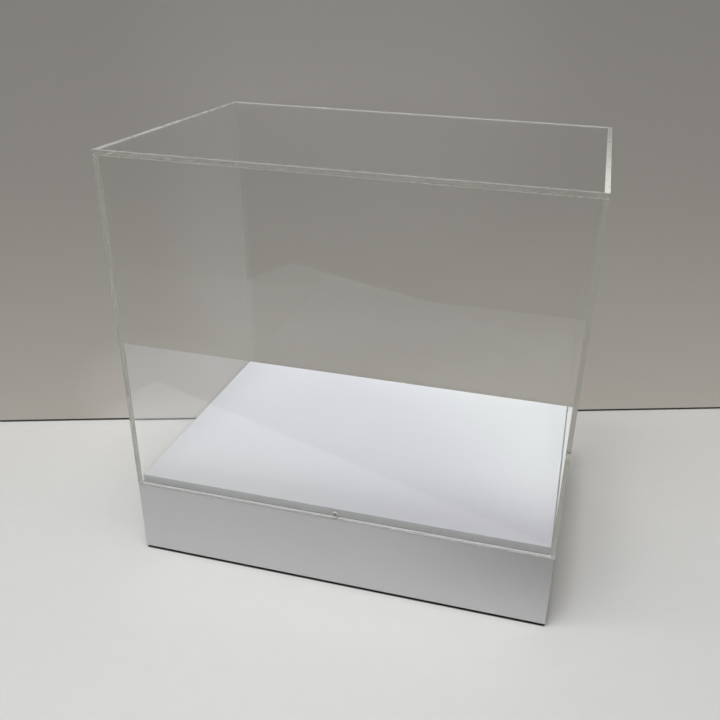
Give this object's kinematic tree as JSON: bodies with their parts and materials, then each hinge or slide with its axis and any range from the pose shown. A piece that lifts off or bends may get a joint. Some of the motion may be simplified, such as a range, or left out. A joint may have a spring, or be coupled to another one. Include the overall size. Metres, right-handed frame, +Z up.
{
  "type": "pedestal display case",
  "caption": "Table-top display case: a clear acrylic hood that lifts off a white plinth and stands on its ledge round a raised deck.",
  "frame": {"origin": "on the table, under the middle of the case", "axes": "+X along the long side, to the right of the side with the pictured lock hole; +Y to the back; +Z up, the way the hood lifts"},
  "size_m": [0.4, 0.27, 0.398],
  "materials": {
    "clear_acrylic": "clear, polished",
    "white_lacquer": "white satin lacquer on fibreboard",
    "raw_board": "raw fibreboard",
    "pine": "planed softwood",
    "black_rubber": "matt",
    "zinc_steel": "zinc plated"
  },
  "bodies": {
    "base": {"deck_board": "white_lacquer", "plinth_front_wall": "white_lacquer", "plinth_back_wall": "white_lacquer", "plinth_left_wall": "white_lacquer", "plinth_right_wall": "white_lacquer", "deck_batten_front": "pine", "deck_batten_back": "pine", "deck_batten_left": "pine", "deck_batten_right": "pine", "corner_block_front_left": "pine", "corner_block_front_right": "pine", "corner_block_back_left": "pine", "corner_block_back_right": "pine", "bottom_panel": "raw_board", "foot_front_left": "black_rubber", "foot_front_right": "black_rubber", "foot_back_left": "black_rubber", "foot_back_right": "black_rubber", "deck_screws": "zinc_steel", "bottom_screws": "zinc_steel"},
    "hood": {"hood_top_sheet": "clear_acrylic", "hood_front_sheet": "clear_acrylic", "hood_back_sheet": "clear_acrylic", "hood_left_sheet": "clear_acrylic", "hood_right_sheet": "clear_acrylic"}
  },
  "joints": [
    {"name": "hood_lift", "type": "slide", "parent": "base", "child": "hood", "axis": [0, 0, 1], "range_m": [0, 0.35]}
  ]
}
